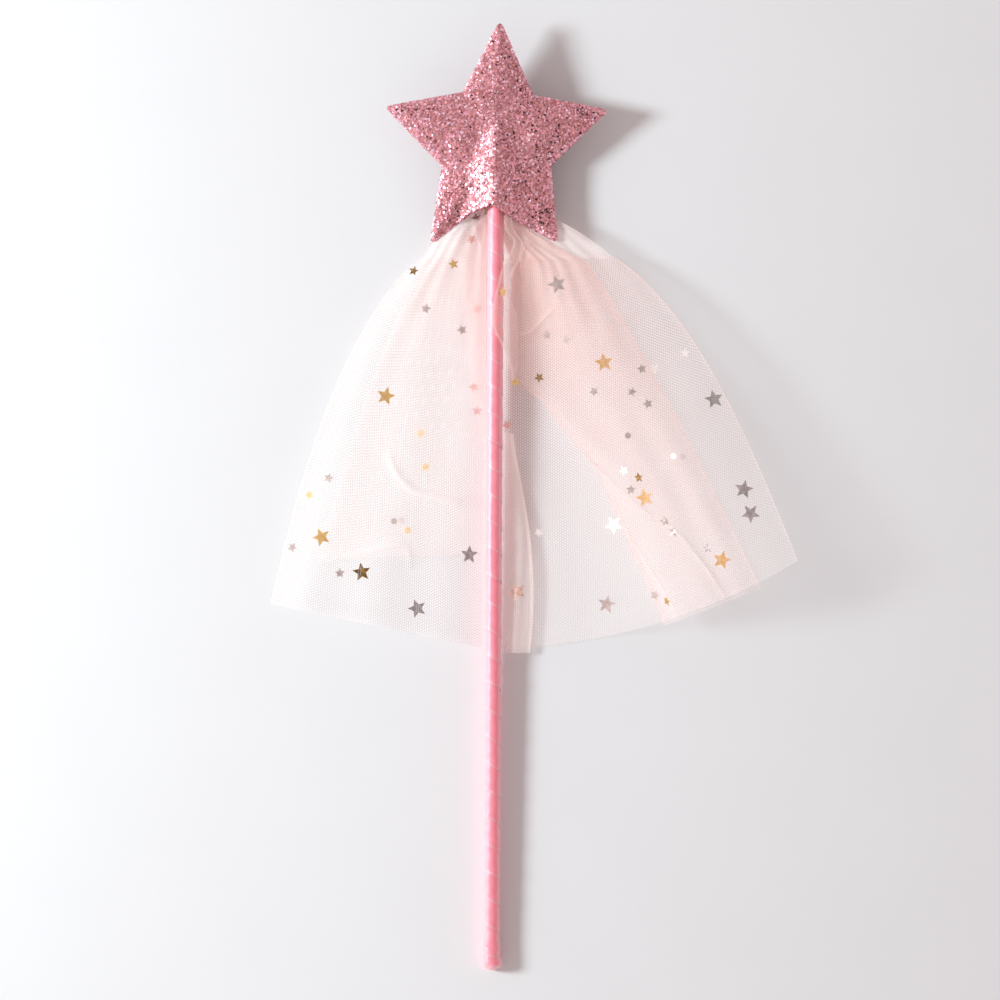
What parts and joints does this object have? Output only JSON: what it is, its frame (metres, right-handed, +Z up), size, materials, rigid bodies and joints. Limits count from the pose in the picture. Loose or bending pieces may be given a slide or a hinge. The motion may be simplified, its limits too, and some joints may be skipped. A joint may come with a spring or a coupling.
{
  "type": "toy magic wand",
  "caption": "Toy magic wand lying flat: a padded glitter star on a ribbon-wrapped stick, with a gathered tulle veil strewn with foil stars whose halves lift about the stick.",
  "frame": {"origin": "on the table, under the middle of the wand's outline as it lies", "axes": "+Y along the stick towards the star, +Z up from the table, +X to the right seen from above with the star at the top"},
  "size_m": [0.22, 0.4, 0.0307],
  "materials": {
    "wood_dowel": "matte",
    "satin_ribbon": "satin",
    "glitter_fabric": "glitter",
    "padding": "matte",
    "hot_glue": "gloss",
    "thread": "matte",
    "tulle": "sheer",
    "gold_foil": "metallic",
    "silver_foil": "metallic"
  },
  "bodies": {
    "wand": {"dowel": "wood_dowel", "ribbon_wrap": "satin_ribbon", "ribbon_lock_turn": "satin_ribbon", "ribbon_butt_fold": "satin_ribbon", "star_front_panel": "glitter_fabric", "star_back_panel": "glitter_fabric", "star_padding": "padding", "glue_beads": "hot_glue", "tulle_heading": "tulle", "gathering_thread": "thread", "tulle_gather": "tulle", "neck_silver_star": "silver_foil"},
    "veil_left": {"tulle_left_upper": "tulle", "tulle_left_under": "tulle", "left_gold_large_stars": "gold_foil", "left_gold_small_stars": "gold_foil", "left_silver_large_stars": "silver_foil", "left_silver_small_stars": "silver_foil", "left_foil_dots": "silver_foil"},
    "veil_right": {"tulle_right_back": "tulle", "tulle_right_front": "tulle", "tulle_right_strip": "tulle", "tulle_right_ruffle": "tulle", "right_gold_large_stars": "gold_foil", "right_gold_small_stars": "gold_foil", "right_silver_large_stars": "silver_foil", "right_silver_small_stars": "silver_foil", "right_foil_dots": "silver_foil"}
  },
  "joints": [
    {"name": "veil_left_lift", "type": "hinge", "parent": "wand", "child": "veil_left", "pos_m": [-0.016, 0.12197, 0.0082], "axis": [0, 0.9999, 0.014], "range_deg": [0, 50]},
    {"name": "veil_right_lift", "type": "hinge", "parent": "wand", "child": "veil_right", "pos_m": [-0.016, 0.12197, 0.0082], "axis": [0, -0.9999, -0.014], "range_deg": [0, 50]}
  ]
}
